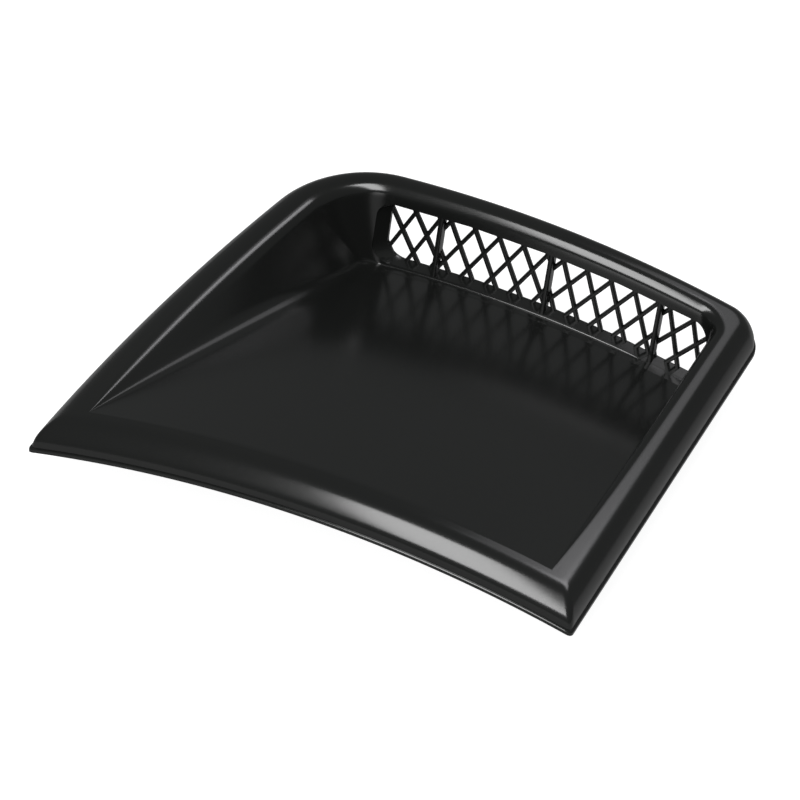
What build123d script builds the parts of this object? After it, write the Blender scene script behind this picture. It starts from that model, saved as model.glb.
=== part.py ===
"""Bumper vent trim: one moulded shell with a rolled rim, a sloping scoop and a lattice grille.

X runs along the front edge, Y from the front edge to the grille and Z out of the bumper.
The origin is the middle of the front edge, on the curved face that the rim sits on.
"""

import os
from math import asin, atan2, cos, degrees, hypot, sin, sqrt, tan

from build123d import *

# Driving dimensions, in millimetres

# Plan of the rim's outer edge
front_width = 246.0
depth = 232.0
back_left_x = -78.0
back_right_x = 135.0
left_bow = 6.0
corner_left_r = 50.0
corner_right_r = 16.0

# Bumper skin: the rim sits on a cylinder with its axis along Y
bulge_r = 507.0

# Section of the rim, from its outer edge inwards
wall = 2.5
lip = 2.0
roll_r = 10.5
crown_flat = 3.5
shoulder_r = 4.0
front_flat = 6.8
run_out = 30.0

# Scoop
recess_corner_r = 9.0
floor_fillet_r = 6.0

# Grille opening in the scoop's back wall
window_width = 154.0
window_height = 33.3
window_drop = 8.8
window_end_gap = 3.0
window_corner_r = 8.0
window_splay = 5.0
sill_step = 1.4
tunnel_depth = 5.0
collar_wall = 2.0

# Grille bars
post_count = 3
post_pitch = 52.5
post_width = 2.2
lattice_pitch = 11.6
lattice_row = 11.4
lattice_bar = 1.9
lattice_depth = 2.2
bar_root = 1.0

# Screw bosses under the rim
boss_r = 3.0
pilot_r = 1.6
pilot_depth = 7.0
front_boss_spacing = 190.0
front_boss_inset = 11.0
back_boss_spacing = 76.0
back_boss_inset = 7.0

# Sizes worked out from the driving dimensions

crown = lip + roll_r
flange = roll_r + crown_flat + shoulder_r
front_band = roll_r + front_flat
half_front = front_width / 2
reach = depth / 2

# The left edge is an arc through the front tip and the back corner
left_run = back_left_x + half_front
left_chord = hypot(left_run, depth)
left_r = (left_chord**2 / 4 + left_bow**2) / (2 * left_bow)
left_centre_x = (back_left_x - half_front) / 2 + (left_r - left_bow) * depth / left_chord
left_centre_y = depth / 2 - (left_r - left_bow) * left_run / left_chord

# The right edge is straight and leans outwards
right_lean = atan2(back_right_x - half_front, depth)

# The scoop's floor leaves the crown behind the front band and falls to the foot of the back wall
wall_front_y = depth - flange
window_top = crown - window_drop
window_sill = window_top - window_height
floor_drop = crown - window_sill + sill_step
floor_slope = atan2(floor_drop, wall_front_y - front_band)

# The grille stands at the back of the tunnel
lattice_front_y = wall_front_y + tunnel_depth
lattice_back_y = lattice_front_y + lattice_depth


def right_edge_x(y, inset):
    """X of the right edge at a given Y, moved inwards by inset."""
    return half_front + y * tan(right_lean) - inset / cos(right_lean)


window_right_x = right_edge_x(wall_front_y, flange) - window_end_gap
window_left_x = window_right_x - window_width
window_mid_x = (window_left_x + window_right_x) / 2


def bulge_z(x):
    """Height of the bumper skin at a given X."""
    return sqrt(bulge_r**2 - x**2) - bulge_r


def bulge_axis():
    """Plane whose Z axis is the bulge's centre line."""
    return Plane((0, depth / 2, -bulge_r), z_dir=(0, 1, 0))


def floor_axis(floor_r):
    """Plane whose Z axis is the centre line of the scoop's curved floor."""
    foot = Vector(0, front_band, crown)
    normal = Vector(0, sin(floor_slope), cos(floor_slope))
    return Plane(foot - normal * floor_r, z_dir=(0, cos(floor_slope), -sin(floor_slope)))


def plan(inset, front_y, left_corner, right_corner):
    """Outline of the trim moved inwards by inset, with its front side at front_y."""
    back_y = depth - inset
    far_x = -2 * front_width
    with BuildSketch() as outline:
        with BuildLine():
            Polyline(
                (far_x, front_y),
                (right_edge_x(front_y, inset), front_y),
                (right_edge_x(back_y, inset), back_y),
                (far_x, back_y),
                close=True,
            )
        make_face()
        with Locations((left_centre_x, left_centre_y)):
            Circle(left_r - inset, mode=Mode.INTERSECT)
        back_left = outline.vertices().group_by(Axis.Y)[-1].sort_by(Axis.X)[0]
        fillet(back_left, left_corner)
        back_right = outline.vertices().group_by(Axis.Y)[-1].sort_by(Axis.X)[-1]
        fillet(back_right, right_corner)
    return outline.sketch


def rim_block():
    """Solid under the crown with its outer edge rolled over and mitred at the two front tips."""
    with BuildPart() as barrel:
        with Locations(Plane((0, 0, -bulge_r), z_dir=(0, 1, 0))):
            Cylinder(bulge_r + crown, 2 * depth, align=(Align.CENTER, Align.CENTER, Align.MIN))
        fillet(barrel.edges().filter_by(GeomType.CIRCLE).sort_by(Axis.Y)[0], roll_r)
    with BuildPart() as block:
        with BuildSketch(Plane.XY.offset(-reach)):
            add(plan(0, -run_out, corner_left_r, corner_right_r))
        extrude(amount=2 * reach)
        with Locations(bulge_axis()):
            Cylinder(bulge_r + crown, 2 * depth, mode=Mode.INTERSECT)
        crown_face = block.faces().sort_by(Axis.Z)[-1]
        fillet(crown_face.edges().sort_by(Axis.Y)[1:], roll_r)
        add(barrel.part, mode=Mode.INTERSECT)
    return block.part


def scoop_block(grow):
    """Space inside the scoop, open in front and above, moved outwards by grow."""
    floor_r = bulge_r + crown
    with BuildPart() as block:
        with BuildSketch(Plane.XY.offset(-reach)):
            inset = flange - grow
            add(plan(inset, 0, corner_left_r - inset, recess_corner_r + grow))
        extrude(amount=2 * reach)
        with Locations(floor_axis(floor_r)):
            Cylinder(floor_r - grow, 4 * depth, mode=Mode.SUBTRACT)
    return block.part


def hollow_block(inset, top):
    """Space inside the outline moved inwards by inset, up to top above the bumper skin."""
    with BuildPart() as block:
        with BuildSketch(Plane.XY.offset(-reach)):
            add(plan(inset, inset, corner_left_r - inset, corner_right_r - inset))
        extrude(amount=2 * reach)
        with Locations(bulge_axis()):
            Cylinder(bulge_r + top, 2 * depth, mode=Mode.INTERSECT)
    return block.part


def window_face(left_x, grow):
    """Grille opening in the XZ plane: a band of the bulge with rounded corners, grown by grow."""
    with BuildSketch() as face:
        with Locations((0, -bulge_r)):
            Circle(bulge_r + window_top + grow)
            Circle(bulge_r + window_sill - grow, mode=Mode.SUBTRACT)
        with Locations(((left_x + window_right_x) / 2, 0)):
            Rectangle(window_right_x - left_x + 2 * grow, 4 * window_height, mode=Mode.INTERSECT)
        fillet(face.vertices(), window_corner_r + grow)
    return face.sketch


def upright(y):
    """Plane facing the front at a given Y, with the sketch's X and Y along X and Z."""
    return Plane.XZ.offset(-y)


def window_lattice(left_x, right_x):
    """Diamond bars of one window, turned to lie along the bulge and cut to the window's width."""
    mid_x = (left_x + right_x) / 2
    width = right_x - left_x
    row_r = bulge_r + (window_top + window_sill) / 2
    turn = asin(mid_x / row_r)
    bar_angle = degrees(atan2(lattice_row, lattice_pitch / 2))
    bar_length = 2 * hypot(window_height, lattice_pitch)
    bar_pairs = 2 * int((width + window_height) / lattice_pitch / 2 + 0.5)
    with BuildSketch() as bars:
        with Locations(Location((mid_x, row_r * cos(turn) - bulge_r), -degrees(turn))):
            with GridLocations(lattice_pitch, lattice_pitch, bar_pairs, 1):
                Rectangle(bar_length, lattice_bar, rotation=bar_angle)
                Rectangle(bar_length, lattice_bar, rotation=-bar_angle)
        with Locations((mid_x, 0)):
            Rectangle(width, 4 * window_height, mode=Mode.INTERSECT)
    return bars.sketch


# Hollow of the rim: a narrow step above the lip, and bosses left standing for the screws
front_boss_x = front_boss_spacing / 2
back_boss_x = back_boss_spacing / 2
boss_places = []
for boss_x, boss_y in ((front_boss_x, front_boss_inset), (back_boss_x, depth - back_boss_inset)):
    for side in (-1, 1):
        boss_places.append((side * boss_x, boss_y, bulge_z(boss_x)))
with BuildPart() as hollow:
    add(hollow_block(wall, lip + wall))
    add(hollow_block(roll_r - 1.5 * wall, crown - wall))
    with Locations(*boss_places):
        Cylinder(boss_r, 4 * crown, mode=Mode.SUBTRACT)

# Rolled rim, open at the face that meets the bumper
with BuildPart() as rim:
    add(rim_block())
    with Locations(bulge_axis()):
        Cylinder(bulge_r, 2 * depth, mode=Mode.SUBTRACT)
    add(hollow.part, mode=Mode.SUBTRACT)

# Outside of the scoop, from the underside of the front band to the back wall
with BuildPart() as scoop_shell:
    add(scoop_block(wall))
    with Locations(bulge_axis()):
        Cylinder(bulge_r + crown, 2 * depth, mode=Mode.INTERSECT)
    split(bisect_by=upright(front_band - front_flat / 2), keep=Keep.BOTTOM)

# Collar that carries the grille behind the back wall
with BuildPart() as collar:
    with BuildSketch(upright(lattice_back_y)):
        add(window_face(window_left_x - window_splay, collar_wall))
    extrude(amount=lattice_back_y - wall_front_y + recess_corner_r - wall)
    add(scoop_block(0), mode=Mode.SUBTRACT)

# Air passage of the grille: square through the wall, then narrowing at its left end
with BuildPart() as window:
    with BuildSketch(upright(wall_front_y)):
        add(window_face(window_left_x - window_splay, 0))
    extrude(amount=floor_fillet_r)
    with BuildSketch(upright(wall_front_y)):
        add(window_face(window_left_x - window_splay, 0))
    with BuildSketch(upright(lattice_front_y)):
        add(window_face(window_left_x, 0))
    loft(ruled=True)
    with BuildSketch(upright(lattice_front_y)):
        add(window_face(window_left_x, 0))
    extrude(amount=-(lattice_depth + wall))

# Posts through the whole tunnel, with the diamond lattice at its back
post_xs = [window_mid_x + post_pitch * (i - (post_count - 1) / 2) for i in range(post_count)]
pane_edges = [window_left_x - bar_root] + post_xs + [window_right_x + bar_root]
with BuildPart() as grille:
    with BuildSketch(upright(lattice_back_y)):
        for left_x, right_x in zip(pane_edges, pane_edges[1:]):
            add(window_lattice(left_x, right_x))
        add(window_face(window_left_x, bar_root), mode=Mode.INTERSECT)
    extrude(amount=lattice_depth)
    with BuildSketch(upright(lattice_back_y)):
        with Locations(*[(x, 0) for x in post_xs]):
            Rectangle(post_width, 4 * window_height)
        add(window_face(window_left_x, bar_root), mode=Mode.INTERSECT)
    extrude(amount=lattice_back_y - wall_front_y)

# The finished moulding
with BuildPart() as vent_trim:
    add(rim.part)
    add(scoop_shell.part)
    add(scoop_block(0), mode=Mode.SUBTRACT)
    rings = vent_trim.faces().filter_by(lambda face: len(face.inner_wires()) == 1)
    crown_ring = rings.sort_by(Axis.Z)[-1]
    fillet(crown_ring.inner_wires()[0].edges(), shoulder_r)
    add(collar.part)
    add(window.part, mode=Mode.SUBTRACT)
    add(grille.part)
    with Locations(*boss_places):
        Cylinder(
            pilot_r,
            pilot_depth,
            align=(Align.CENTER, Align.CENTER, Align.MIN),
            mode=Mode.SUBTRACT,
        )

vent_trim.part.label = "vent_trim"
os.makedirs("parts", exist_ok=True)
export_step(vent_trim.part, "parts/vent_trim.step")
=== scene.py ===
import bmesh
import bpy
import numpy as np
from mathutils import Matrix, Vector


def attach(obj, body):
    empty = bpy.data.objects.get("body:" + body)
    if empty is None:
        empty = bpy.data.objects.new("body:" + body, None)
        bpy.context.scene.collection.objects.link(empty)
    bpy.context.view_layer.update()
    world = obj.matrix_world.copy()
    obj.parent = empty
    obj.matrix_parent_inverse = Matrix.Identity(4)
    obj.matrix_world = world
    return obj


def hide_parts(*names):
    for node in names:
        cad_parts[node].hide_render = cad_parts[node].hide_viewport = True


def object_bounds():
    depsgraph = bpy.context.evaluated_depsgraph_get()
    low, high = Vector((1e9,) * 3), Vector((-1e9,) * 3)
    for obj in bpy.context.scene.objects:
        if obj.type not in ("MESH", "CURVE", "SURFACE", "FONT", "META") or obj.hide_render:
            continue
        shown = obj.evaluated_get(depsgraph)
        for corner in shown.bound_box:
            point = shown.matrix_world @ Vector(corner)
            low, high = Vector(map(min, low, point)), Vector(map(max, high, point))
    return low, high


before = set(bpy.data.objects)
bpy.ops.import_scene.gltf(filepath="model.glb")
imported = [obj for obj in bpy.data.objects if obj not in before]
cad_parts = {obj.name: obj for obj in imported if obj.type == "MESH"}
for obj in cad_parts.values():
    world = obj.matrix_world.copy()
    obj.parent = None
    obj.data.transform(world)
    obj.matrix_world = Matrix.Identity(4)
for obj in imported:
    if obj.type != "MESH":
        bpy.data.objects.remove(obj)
cad_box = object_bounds()

# Shell of the trim
# The real piece is one injection moulding in black plastic, about two and a half millimetres thick, with a
# rolled rim round a scoop that slopes down to the grille. Its lip sits on the bumper, with screws behind.
bulge_radius = 507.0
front_half = 123.0
depth = 232.0
back_left_x = -78.0
right_spread = 12.0
right_lean = np.arctan2(right_spread, depth)
left_bow = 6.0
rim_left_corner = 50.0
rim_right_corner = 16.0
tip_reach = 2.6
lip_height = 2.0
lip_groove = 0.9
roll_radius = 10.5
roll_inset = 9.6
roll_front = 13.5
crown_rise = lip_height + roll_radius
recess_inset = 18.0
recess_right_corner = 9.0
front_band = 17.3
floor_drop = 43.5
floor_fall = floor_drop / (depth - recess_inset - front_band)
foot_back_x = -47.0
foot_corner = 8.0
shoulder_reach = 7.3
shoulder_growth = 16.0
right_cove = 9.0
left_cove = 17.0
corner_cove = 6.0
sill_reach = 1.2
cove_growth = 2.5
cove_fade_start = 150.0
cove_fade_length = 54.0
shell_wall = 2.3
crease_angle = 32

right_steps = 60
right_turn_steps = 16
back_steps = 70
left_turn_steps = 24
left_steps = 64
front_crowding = 1.6
back_start = right_steps + right_turn_steps
left_turn_start = back_start + back_steps
left_start = left_turn_start + left_turn_steps
corner_fade_start = left_turn_start - 2
corner_fade_steps = 18
tip_sample = 8

left_chord = np.hypot(back_left_x + front_half, depth)
left_radius = (left_chord**2 / 4 + left_bow**2) / (2 * left_bow)
left_reach = left_radius - left_bow
left_centre_x = (back_left_x - front_half) / 2 + left_reach * depth / left_chord
left_centre_y = depth / 2 - left_reach * (back_left_x + front_half) / left_chord


def skin_height(x, rise):
    """Z at X on the bumper skin grown by rise: a circle of bulge radius plus rise, less the bulge radius."""
    return np.sqrt((bulge_radius + rise) ** 2 - x**2) - bulge_radius


def side_run(inset, front_y, left_corner, right_corner):
    """Points and inward directions along the right side, the back and the left side, moved inwards by inset.

    A leaning line, an arc of right_corner, a level line, an arc of left_corner tangent inside the big left
    circle, and that circle down to front_y. Each has a fixed number of steps, closer at the front, so that
    runs match point for point.
    """
    back_y = depth - inset
    right_y = back_y - right_corner
    right_x = front_half + right_y * np.tan(right_lean) - (inset + right_corner) / np.cos(right_lean)
    close = np.linspace(0, 1, right_steps, endpoint=False) ** front_crowding
    y = front_y + (right_y - right_corner * np.sin(right_lean) - front_y) * close
    x = front_half + y * np.tan(right_lean) - inset / np.cos(right_lean)
    pieces = [np.stack([x, y], 1)]
    inwards = [np.tile([-np.cos(right_lean), np.sin(right_lean)], (right_steps, 1))]
    turn = np.linspace(-right_lean, np.pi / 2, right_turn_steps, endpoint=False)
    spoke = np.stack([np.cos(turn), np.sin(turn)], 1)
    pieces.append(np.array([right_x, right_y]) + right_corner * spoke)
    inwards.append(-spoke)
    left_y = back_y - left_corner
    span = left_radius - inset - left_corner
    left_x = left_centre_x - np.sqrt(span**2 - (left_y - left_centre_y) ** 2)
    x = np.linspace(right_x, left_x, back_steps, endpoint=False)
    pieces.append(np.stack([x, np.full(back_steps, back_y)], 1))
    inwards.append(np.tile([0.0, -1.0], (back_steps, 1)))
    meet = np.arctan2(left_y - left_centre_y, left_x - left_centre_x)
    turn = np.linspace(np.pi / 2, meet, left_turn_steps, endpoint=False)
    spoke = np.stack([np.cos(turn), np.sin(turn)], 1)
    pieces.append(np.array([left_x, left_y]) + left_corner * spoke)
    inwards.append(-spoke)
    end = np.pi - np.arcsin((front_y - left_centre_y) / (left_radius - inset))
    turn = end + (meet - end) * np.linspace(1, 0, left_steps) ** front_crowding
    spoke = np.stack([np.cos(turn), np.sin(turn)], 1)
    pieces.append(np.array([left_centre_x, left_centre_y]) + (left_radius - inset) * spoke)
    inwards.append(-spoke)
    return np.concatenate(pieces), np.concatenate(inwards)


recess_left_corner = rim_left_corner - recess_inset
recess, into_recess = side_run(recess_inset, front_band, recess_left_corner, recess_right_corner)
travel = np.concatenate([[0.0], np.cumsum(np.hypot(*np.diff(recess, axis=0).T))])
travel = travel / travel[-1]


def foot_run(back_x, corner):
    """Points and inward directions along the foot of the scoop's wall, matched point for point to the recess.

    The right side is the recess's own. The left side is a straight line from back_x on the back wall to the
    recess's front end, joined to the level back by an arc of corner.
    """
    back_y = depth - recess_inset
    way = recess[-1] - np.array([back_x, back_y])
    way = way / np.hypot(*way)
    inward = np.array([-way[1], way[0]])
    touch_y = back_y - corner - inward[1] * corner
    touch = recess[-1] + way * (touch_y - recess[-1, 1]) / way[1]
    middle = touch + inward * corner
    run = recess.copy()
    inwards = into_recess.copy()
    level_x = np.linspace(recess[back_start, 0], middle[0], back_steps, endpoint=False)
    run[back_start:left_turn_start, 0] = level_x
    turn = np.linspace(np.pi / 2, np.arctan2(-inward[1], -inward[0]), left_turn_steps, endpoint=False)
    spoke = np.stack([np.cos(turn), np.sin(turn)], 1)
    run[left_turn_start:left_start] = middle + corner * spoke
    inwards[left_turn_start:left_start] = -spoke
    close = 1 - np.linspace(1, 0, left_steps) ** front_crowding
    run[left_start:] = touch + (recess[-1] - touch) * close[:, None]
    inwards[left_start:] = inward
    return run, inwards


foot_line, into_floor = foot_run(foot_back_x, foot_corner)


def floor_height(x, y):
    """Z of the scoop's floor: the crown's height at X, less a steady fall behind the front band."""
    return skin_height(x, crown_rise) - (y - front_band) * floor_fall


wall_top = np.column_stack([recess, skin_height(recess[:, 0], crown_rise)])
wall_foot = np.column_stack([foot_line, floor_height(foot_line[:, 0], foot_line[:, 1])])
wall_long = np.linalg.norm(wall_foot - wall_top, axis=1)
wall_way = (wall_foot - wall_top) / np.maximum(wall_long, 1e-6)[:, None]
to_back = np.clip((foot_line[:, 1] - cove_fade_start) / cove_fade_length, 0, 1)
to_back = to_back**2 * (3 - 2 * to_back)
column = np.arange(len(recess))
side_reach = np.where(column < left_turn_start, right_cove, left_cove)
to_left = np.clip((column - corner_fade_start) / corner_fade_steps, 0, 1)
back_reach = sill_reach + (corner_cove - sill_reach) * to_left**2 * (3 - 2 * to_left)
shoulder = shoulder_reach * (1 - np.exp(-wall_long / shoulder_growth))
full_cove = side_reach + (back_reach - side_reach) * to_back
cove = full_cove * (1 - np.exp(-wall_long / (cove_growth * side_reach)))


def front_run(front_y, run):
    """Points along the front at front_y, from the run's right end to its left, spaced as the travel is."""
    x = run[0, 0] + (run[-1, 0] - run[0, 0]) * travel
    return np.stack([x, np.full(len(x), front_y)], 1)


def soft_tips(run, line):
    """The run and the front line with their two sharp meetings turned into parabolas of tip_reach each way.

    At each meeting a point at share s of the reach along one line moves to a quarter plus three quarters of s
    along it, and by the square of one less that share's root along the other line.
    """
    run = run.copy()
    line = line.copy()
    for end in (0, -1):
        corner = run[end].copy()
        ways = []
        for path in (run, line):
            ahead = path[tip_sample if end == 0 else -1 - tip_sample] - corner
            ways.append(ahead / np.hypot(*ahead))
        for path, own, other in ((run, ways[0], ways[1]), (line, ways[1], ways[0])):
            far = np.hypot(*(path - corner).T)
            near = far < tip_reach
            share = 0.25 + 0.75 * far[near] / tip_reach
            across = (1 - np.sqrt(share)) ** 2
            path[near] = corner + tip_reach * (share[:, None] * own + across[:, None] * other)
    return run, line


side_rows = []
front_rows = []
lip_insets = [0.0, 0.0, 0.25, lip_groove]
lip_rises = [0.0, 1.5, 1.75, 1.9]
roll = np.radians(np.linspace(0, 90, 15))
edge_insets = np.concatenate([lip_insets, lip_groove + roll_inset * (1 - np.cos(roll))])
edge_fronts = np.concatenate([lip_insets, lip_groove + roll_front * (1 - np.cos(roll))])
edge_rises = np.concatenate([lip_rises, lip_height + roll_radius * np.sin(roll)])
for inset, front_y, rise in zip(edge_insets, edge_fronts, edge_rises):
    run, _ = side_run(inset, front_y, rim_left_corner - inset, rim_right_corner - inset)
    run, line = soft_tips(run, front_run(front_y, run))
    side_rows.append(np.column_stack([run, skin_height(run[:, 0], rise)]))
    front_rows.append(np.column_stack([line, skin_height(line[:, 0], rise)]))

roll_end = len(edge_insets) - 1
crown_inner = recess - into_recess * shoulder[:, None]
crown_front = front_run(front_band, recess)
for share in (0.3, 0.7, 0.92, 1.0):
    run = side_rows[roll_end][:, :2] * (1 - share) + crown_inner * share
    line = front_rows[roll_end][:, :2] * (1 - share) + crown_front * share
    side_rows.append(np.column_stack([run, skin_height(run[:, 0], crown_rise)]))
    front_rows.append(np.column_stack([line, skin_height(line[:, 0], crown_rise)]))


def bend(first, corner, last, steps):
    """Rows of the quadratic curve that leaves first towards corner and comes to last from corner."""
    rows = []
    for share in np.linspace(0, 1, steps)[1:]:
        rows.append(first * (1 - share) ** 2 + corner * 2 * share * (1 - share) + last * share**2)
    return rows


crown_edge = side_rows[-1]
wall_start = wall_top + wall_way * shoulder[:, None]
wall_end = wall_foot - wall_way * cove[:, None]
floor_edge = foot_line + into_floor * cove[:, None]
floor_edge = np.column_stack([floor_edge, floor_height(floor_edge[:, 0], floor_edge[:, 1])])
side_rows.extend(bend(crown_edge, wall_top, wall_start, 14))
for share in np.linspace(0, 1, 12)[1:]:
    side_rows.append(wall_start * (1 - share) + wall_end * share)
side_rows.extend(bend(wall_end, wall_foot, floor_edge, 12))
for share in np.linspace(0, 1, 60)[1:]:
    run = floor_edge[:, :2] * (1 - share) + crown_front * share
    side_rows.append(np.column_stack([run, floor_height(run[:, 0], run[:, 1])]))


def grid_faces(rows, columns, start=0):
    """Quads of a grid of rows by columns: each corner, the next along its row and two in the row after."""
    index = start + np.arange(rows * columns).reshape(rows, columns)
    corners = [index[:-1, :-1], index[:-1, 1:], index[1:, 1:], index[1:, :-1]]
    return np.stack(corners, 2).reshape(-1, 4)


def new_piece(name, points, faces):
    """Mesh of the given points, in millimetres, and faces, with doubles merged."""
    mesh = bpy.data.meshes.new(name)
    mesh.from_pydata((np.asarray(points) * 0.001).tolist(), [], [list(face) for face in faces])
    work = bmesh.new()
    work.from_mesh(mesh)
    bmesh.ops.remove_doubles(work, verts=work.verts, dist=1e-5)
    work.to_mesh(mesh)
    work.free()
    piece = bpy.data.objects.new(name, mesh)
    bpy.context.scene.collection.objects.link(piece)
    return piece


columns = len(recess)
points = np.concatenate(side_rows + [row[::-1] for row in front_rows])
faces = np.concatenate([
    grid_faces(len(side_rows), columns),
    grid_faces(len(front_rows), columns, len(side_rows) * columns),
])
shell = new_piece("trim_shell", points, faces)

window_right = 113.0
window_left = -41.0
window_splay = 5.0
window_top = 3.7
window_sill = -29.6
window_corners = ((1, -1, 8.0), (1, 1, 8.0), (-1, 1, 7.0), (-1, -1, 10.0))
cut_clearance = 0.15
cut_front_reach = 6.0
cut_back_reach = 8.0
tunnel_front = depth - recess_inset
tunnel_back = tunnel_front + 5.0
lattice_depth = 2.2


def window_loop(left, grow, y):
    """Closed outline of the grille opening at Y: a rectangle with four corner arcs, bent up onto the bulge.

    Each corner is given by its side, its height and its radius, and grow moves the outline outwards.
    """
    turn = np.radians(np.linspace(0, 90, 13))
    xs = []
    rises = []
    for quarter, (side, height, radius) in enumerate(window_corners):
        radius = radius + grow
        x = (window_right if side > 0 else left) + side * grow
        rise = (window_top if height > 0 else window_sill) + height * grow
        angle = np.radians(90 * quarter - 90) + turn
        xs.append(x - side * radius + radius * np.cos(angle))
        rises.append(rise - height * radius + radius * np.sin(angle))
    xs = np.concatenate(xs)
    rises = np.concatenate(rises)
    ring = np.append(np.arange(len(xs)), 0)
    steps = np.linspace(0, 1, 5)[:-1]
    x = (xs[ring[:-1], None] * (1 - steps) + xs[ring[1:], None] * steps).ravel()
    rise = (rises[ring[:-1], None] * (1 - steps) + rises[ring[1:], None] * steps).ravel()
    return np.column_stack([x, np.full(len(x), y), skin_height(x, rise)])


def tube_faces(rows, columns, closed):
    """Quads of rings joined in turn, each closed on itself, and the last joined to the first where closed."""
    index = np.arange(rows * columns).reshape(rows, columns)
    index = np.concatenate([index, index[:, :1]], 1)
    if closed:
        index = np.concatenate([index, index[:1]], 0)
    corners = [index[:-1, :-1], index[:-1, 1:], index[1:, 1:], index[1:, :-1]]
    return np.stack(corners, 2).reshape(-1, 4)


def face_outwards(piece):
    """The piece's closed mesh with every face turned outwards."""
    work = bmesh.new()
    work.from_mesh(piece.data)
    bmesh.ops.recalc_face_normals(work, faces=work.faces)
    work.to_mesh(piece.data)
    work.free()


cut_rings = [
    window_loop(window_left - window_splay, cut_clearance, tunnel_front - cut_front_reach),
    window_loop(window_left - window_splay, cut_clearance, tunnel_front),
    window_loop(window_left, cut_clearance, tunnel_back),
    window_loop(window_left, cut_clearance, tunnel_back + cut_back_reach),
]
ring_count = len(cut_rings[0])
cut_faces = [list(face) for face in tube_faces(4, ring_count, False)]
cut_faces.append(list(range(ring_count))[::-1])
cut_faces.append(list(range(3 * ring_count, 4 * ring_count)))
cutter = new_piece("window_cutter", np.concatenate(cut_rings), cut_faces)
face_outwards(cutter)

thicken = shell.modifiers.new("wall", "SOLIDIFY")
thicken.thickness = shell_wall * 0.001
thicken.offset = -1
thicken.use_even_offset = False
open_window = shell.modifiers.new("window", "BOOLEAN")
open_window.object = cutter
open_window.operation = "DIFFERENCE"
open_window.solver = "EXACT"
finished = bpy.data.meshes.new_from_object(shell.evaluated_get(bpy.context.evaluated_depsgraph_get()))
shell.modifiers.clear()
shell.data = finished
bpy.data.objects.remove(cutter)


def smooth(piece, degrees):
    """Smooth shading, with every edge that turns by more than the angle kept sharp."""
    piece.data.shade_smooth()
    piece.data.set_sharp_from_angle(angle=np.radians(degrees))


smooth(shell, crease_angle)

plastic = bpy.data.materials.new("satin_black_plastic")
plastic.use_nodes = True
nodes = plastic.node_tree.nodes
links = plastic.node_tree.links
surface = nodes["Principled BSDF"]
place = nodes.new("ShaderNodeTexCoord")
flow = nodes.new("ShaderNodeTexNoise")
flow.inputs["Scale"].default_value = 9.0
flow.inputs["Detail"].default_value = 0.0
links.new(place.outputs["Object"], flow.inputs["Vector"])
tone = nodes.new("ShaderNodeMix")
tone.data_type = "RGBA"
tone.inputs["A"].default_value = (0.0060, 0.0064, 0.0061, 1)
tone.inputs["B"].default_value = (0.0082, 0.0087, 0.0083, 1)
links.new(flow.outputs["Fac"], tone.inputs["Factor"])
links.new(tone.outputs["Result"], surface.inputs["Base Color"])
polish = nodes.new("ShaderNodeMapRange")
polish.inputs["From Min"].default_value = 0.3
polish.inputs["From Max"].default_value = 0.7
polish.inputs["To Min"].default_value = 0.16
polish.inputs["To Max"].default_value = 0.19
polish.clamp = False
links.new(flow.outputs["Fac"], polish.inputs["Value"])
grain = nodes.new("ShaderNodeTexNoise")
grain.inputs["Scale"].default_value = 420.0
grain.inputs["Detail"].default_value = 1.0
links.new(place.outputs["Object"], grain.inputs["Vector"])
satin = nodes.new("ShaderNodeMath")
satin.operation = "MULTIPLY_ADD"
satin.inputs[1].default_value = 0.03
links.new(grain.outputs["Fac"], satin.inputs[0])
links.new(polish.outputs["Result"], satin.inputs[2])
links.new(satin.outputs[0], surface.inputs["Roughness"])
surface.inputs["IOR"].default_value = 1.5


def finish_piece(piece):
    """The plastic put on the piece as its one material, and the piece set to ride on the trim's one body."""
    piece.data.materials.clear()
    piece.data.materials.append(plastic)
    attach(piece, "root")


finish_piece(shell)
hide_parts("vent_trim")

# Collar of the grille
# A short tunnel of the same moulding behind the back wall, two millimetres thick, narrowing at its left end.
# It stiffens the opening and carries the posts and the lattice at its back.
collar_wall = 2.0
collar_front = tunnel_front + 0.4
lattice_back = tunnel_back + lattice_depth
collar_rings = [
    window_loop(window_left - window_splay, collar_wall, collar_front),
    window_loop(window_left - window_splay, 0.0, collar_front),
    window_loop(window_left, 0.0, tunnel_back),
    window_loop(window_left, 0.0, lattice_back),
    window_loop(window_left, collar_wall, lattice_back),
]
collar = new_piece("grille_collar", np.concatenate(collar_rings), tube_faces(5, ring_count, True))
smooth(collar, crease_angle)
finish_piece(collar)

# Posts of the grille
# Three upright ribs of the same moulding, as deep as the tunnel, with softly rounded front edges.
# They divide the opening into four panes and run into the collar above and below.
post_width = 2.2
post_edge = 0.5
post_front_gap = 0.1
post_gaps = 0.3
rib_overlap = 1.0
rib_crease_angle = 50
post_places = np.array([-16.5, 36.0, 88.5])


def rib_section(width, deep, radius):
    """Closed outline of a rib: a rectangle of width by deep round its middle, with quarter-arc corners."""
    turn = np.radians(np.linspace(0, 90, 5))
    starts = np.radians([0, 90, 180, 270])[:, None]
    across = np.array([1, -1, -1, 1])[:, None] * (width / 2 - radius)
    along = np.array([1, 1, -1, -1])[:, None] * (deep / 2 - radius)
    return np.column_stack([
        (across + radius * np.cos(starts + turn)).ravel(),
        (along + radius * np.sin(starts + turn)).ravel(),
    ])


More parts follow.
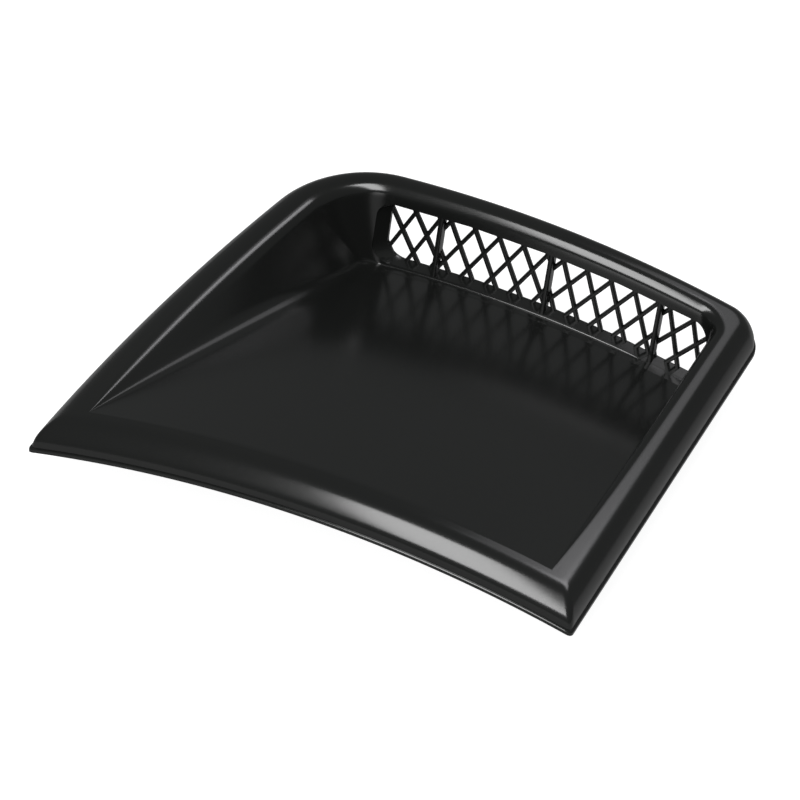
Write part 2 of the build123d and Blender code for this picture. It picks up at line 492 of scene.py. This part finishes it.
def ribs(name, section, starts, ends, sides, middles):
    """Straight ribs: the section carried from each start to its end, set off along each side and along Y."""
    count = len(section)
    offset = sides[:, None, :] * section[None, :, :1] + np.array([0.0, 1.0, 0.0]) * section[None, :, 1:]
    offset = offset + np.array([0.0, 1.0, 0.0]) * middles[:, None, None]
    rings = np.stack([starts[:, None, :] + offset, ends[:, None, :] + offset], 1)
    one = tube_faces(2, count, False)
    bodies = (one[None] + 2 * count * np.arange(len(starts))[:, None, None]).reshape(-1, 4)
    caps = np.arange(count)[None] + count * np.arange(2 * len(starts))[:, None]
    every = [list(face) for face in bodies] + [list(cap) for cap in caps]
    piece = new_piece(name, rings.reshape(-1, 3), every)
    face_outwards(piece)
    smooth(piece, rib_crease_angle)
    finish_piece(piece)
    return piece


post_low = np.column_stack([post_places, np.zeros(3), skin_height(post_places, window_sill - rib_overlap)])
post_high = np.column_stack([post_places, np.zeros(3), skin_height(post_places, window_top + rib_overlap)])
post_sides = np.tile([1.0, 0.0, 0.0], (3, 1))
post_depth = lattice_back - tunnel_front - post_gaps
post_middles = np.full(3, tunnel_front + post_front_gap + post_depth / 2)
post_section = rib_section(post_width, post_depth, post_edge)
ribs("grille_posts", post_section, post_low, post_high, post_sides, post_middles)

# Lattice of the grille
# Thin crossing bars of the same moulding at the back of the tunnel, in four panes of narrow diamonds.
# Each pane's bars are turned to lie along the bulge and run into the posts and the collar.
lattice_pitch = 11.6
lattice_row = 11.4
lattice_bar = 1.9
bar_edge = 0.45
bar_gap = 0.1
crossing_offset = 0.03
corner_overlap = 0.8
least_points = 20
pane_edges = np.concatenate([[window_left - rib_overlap], post_places, [window_right + rib_overlap]])
middle_rise = (window_top + window_sill) / 2
reach = np.linspace(-45, 45, 1801)
starts, ends, sides, middles = [], [], [], []
for left, right in zip(pane_edges[:-1], pane_edges[1:]):
    middle_x = (left + right) / 2
    tilt = np.arcsin(middle_x / (bulge_radius + middle_rise))
    along = np.array([np.cos(tilt), -np.sin(tilt)])
    up = np.array([np.sin(tilt), np.cos(tilt)])
    pairs = 2 * int((right - left + window_top - window_sill) / lattice_pitch / 2 + 0.5)
    centre = np.array([middle_x, skin_height(middle_x, middle_rise)])
    feet = centre + (np.arange(pairs)[:, None] - (pairs - 1) / 2) * lattice_pitch * along
    for lean, back_off in ((1, 0.0), (-1, crossing_offset)):
        way = lattice_pitch / 2 * lean * along + lattice_row * up
        way = way / np.hypot(*way)
        line = feet[:, None, :] + reach[None, :, None] * way
        inside = (line[..., 0] > left) & (line[..., 0] < right)
        inside &= line[..., 1] < skin_height(line[..., 0], window_top + rib_overlap)
        inside &= line[..., 1] > skin_height(line[..., 0], window_sill - rib_overlap)
        rise = np.hypot(line[..., 0], line[..., 1] + bulge_radius) - bulge_radius
        for side, height, radius in window_corners:
            x = window_right if side > 0 else window_left
            level = window_top if height > 0 else window_sill
            past_x = np.maximum(side * (line[..., 0] - x) + radius, 0)
            past_rise = np.maximum(height * (rise - level) + radius, 0)
            inside &= (past_x * past_rise == 0) | (np.hypot(past_x, past_rise) < radius + corner_overlap)
        used = inside.sum(1) > least_points
        first = inside.argmax(1)[used]
        last = (len(reach) - 1 - inside[:, ::-1].argmax(1))[used]
        low = line[used, first]
        high = line[used, last]
        zero = np.zeros(len(low))
        starts.append(np.column_stack([low[:, 0], zero, low[:, 1]]))
        ends.append(np.column_stack([high[:, 0], zero, high[:, 1]]))
        sides.append(np.tile([way[1], 0.0, -way[0]], (len(low), 1)))
        middles.append(np.full(len(low), tunnel_back + lattice_depth / 2 + back_off))
starts, ends, sides, middles = (np.concatenate(part) for part in (starts, ends, sides, middles))
bar_section = rib_section(lattice_bar, lattice_depth - bar_gap, bar_edge)
ribs("grille_lattice", bar_section, starts, ends, sides, middles)

# Screw bosses
# Four round posts of the same moulding under the rim, each with a plain pilot hole for a self-tapping screw.
# They stand from the underside of the crown down to the bumper skin.
boss_radius = 3.0
pilot_radius = 1.6
pilot_depth = 7.0
boss_height = 9.6
boss_steps = 40
boss_places = np.array([[-95.0, 11.0], [95.0, 11.0], [-38.0, 225.0], [38.0, 225.0]])
turn = np.linspace(0, 2 * np.pi, boss_steps, endpoint=False)
boss_profile = np.array([
    [pilot_radius, pilot_depth],
    [pilot_radius, 0.0],
    [boss_radius, 0.0],
    [boss_radius, boss_height],
])
boss_size = len(boss_profile) * boss_steps
boss_points = []
boss_faces = []
for number, (x, y) in enumerate(boss_places):
    foot_z = skin_height(x, 0.0)
    rings = np.stack([
        x + boss_profile[:, :1] * np.cos(turn),
        y + boss_profile[:, :1] * np.sin(turn),
        np.broadcast_to(foot_z + boss_profile[:, 1:], (len(boss_profile), boss_steps)),
    ], 2)
    boss_points.append(rings.reshape(-1, 3))
    first = boss_size * number
    boss_faces += [list(face + first) for face in tube_faces(len(boss_profile), boss_steps, False)]
    boss_faces.append(list(range(first, first + boss_steps)))
    boss_faces.append(list(range(first + boss_size - boss_steps, first + boss_size)))
bosses = new_piece("screw_bosses", np.concatenate(boss_points), boss_faces)
face_outwards(bosses)
smooth(bosses, crease_angle)
finish_piece(bosses)

# Floor of the studio
# A pale sheet under the trim that fills the whole view, a little below its lowest edge.
# It shows white to the camera and keeps a faint shadow of the trim.
floor_gap = 0.002
floor_half = 8.0
floor_z = cad_box[0][2] - floor_gap
floor_mesh = bpy.data.meshes.new("studio_floor")
floor_corners = np.array([[-1, -1, 0], [1, -1, 0], [1, 1, 0], [-1, 1, 0]]) * floor_half + [0, 0, floor_z]
floor_mesh.from_pydata(floor_corners.tolist(), [], [[0, 1, 2, 3]])
floor = bpy.data.objects.new("studio_floor", floor_mesh)
bpy.context.scene.collection.objects.link(floor)
paper = bpy.data.materials.new("pale_paper")
paper.use_nodes = True
nodes = paper.node_tree.nodes
links = paper.node_tree.links
sheet = nodes["Principled BSDF"]
sheet.inputs["Base Color"].default_value = (0.3, 0.3, 0.3, 1)
sheet.inputs["Roughness"].default_value = 0.9
sheet.inputs["Emission Color"].default_value = (1, 1, 1, 1)
ray = nodes.new("ShaderNodeLightPath")
lift = nodes.new("ShaderNodeMath")
lift.operation = "MULTIPLY"
lift.inputs[1].default_value = 0.92
links.new(ray.outputs["Is Camera Ray"], lift.inputs[0])
links.new(lift.outputs[0], sheet.inputs["Emission Strength"])
floor_mesh.materials.append(paper)

# Studio light
# A long soft box above the front draws the broad highlight on the front roll. Two small ones behind, to the
# right, draw the line along the left shoulder and a faint glow on the right side. The room is a dim grey.
middle = Vector((0.02, 0.11, 0.0))


def soft_box(name, direction, distance, width, height, power, colour=(1, 1, 1)):
    """Area lamp at a distance from the trim's middle along a direction, facing the middle."""
    lamp = bpy.data.lights.new(name, "AREA")
    lamp.shape = "RECTANGLE"
    lamp.size = width
    lamp.size_y = height
    lamp.energy = power
    lamp.color = colour
    box = bpy.data.objects.new(name, lamp)
    away = Vector(direction).normalized()
    box.location = middle + away * distance
    box.rotation_euler = away.to_track_quat("Z", "Y").to_euler()
    box.visible_camera = False
    bpy.context.scene.collection.objects.link(box)
    return box


soft_box("front_box", (0.04, -0.56, 0.83), 1.6, 0.6, 2.0, 40.0)
soft_box("side_box", (0.32, 0.60, 0.75), 1.4, 0.4, 0.2, 1.3, (0.98, 0.97, 1.0))
soft_box("back_box", (0.20, 0.72, 0.66), 1.4, 0.4, 0.6, 0.8, (0.98, 0.97, 1.0))

room = bpy.data.worlds.new("pale_room")
bpy.context.scene.world = room
room.use_nodes = True
nodes = room.node_tree.nodes
links = room.node_tree.links
sky = nodes["Background"]
sky.inputs["Color"].default_value = (0.9, 0.92, 0.92, 1)
ray = nodes.new("ShaderNodeLightPath")
strength = nodes.new("ShaderNodeMapRange")
strength.inputs["To Min"].default_value = 0.16
strength.inputs["To Max"].default_value = 1.1
links.new(ray.outputs["Is Camera Ray"], strength.inputs["Value"])
links.new(strength.outputs["Result"], sky.inputs["Strength"])

# Camera
# A long lens looks down on the front of the trim, a little from the right and slightly rolled.
turn_z = np.radians(16.18)
raise_x = np.radians(41.0)
tip = np.radians(8.0)
camera_distance = 2.29167
focal_pixels = 5500.0
image_pixels = 800.0
origin_across = 299.95
origin_down = 516.79
sensor = 36.0
away = np.array([np.sin(turn_z) * np.cos(raise_x), -np.cos(turn_z) * np.cos(raise_x), np.sin(raise_x)])
level = np.array([np.cos(turn_z), np.sin(turn_z), 0.0])
rising = np.array([-np.sin(turn_z) * np.sin(raise_x), np.cos(turn_z) * np.sin(raise_x), np.cos(raise_x)])
image_right = level * np.cos(tip) + rising * np.sin(tip)
image_up = -level * np.sin(tip) + rising * np.cos(tip)
aside = image_right * (image_pixels / 2 - origin_across) + image_up * (origin_down - image_pixels / 2)
forward = Vector(-away + aside / focal_pixels).normalized()
right = forward.cross(Vector(image_up)).normalized()
up = right.cross(forward)
lens = bpy.data.cameras.new("photo_camera")
lens.sensor_width = sensor
lens.lens = focal_pixels * sensor / image_pixels
lens.clip_end = 50.0
camera = bpy.data.objects.new("photo_camera", lens)
facing = Matrix((right, up, -forward)).transposed().to_4x4()
camera.matrix_world = Matrix.Translation(Vector(away * camera_distance)) @ facing
bpy.context.scene.collection.objects.link(camera)
bpy.context.scene.camera = camera
bpy.context.scene.view_settings.view_transform = "Standard"
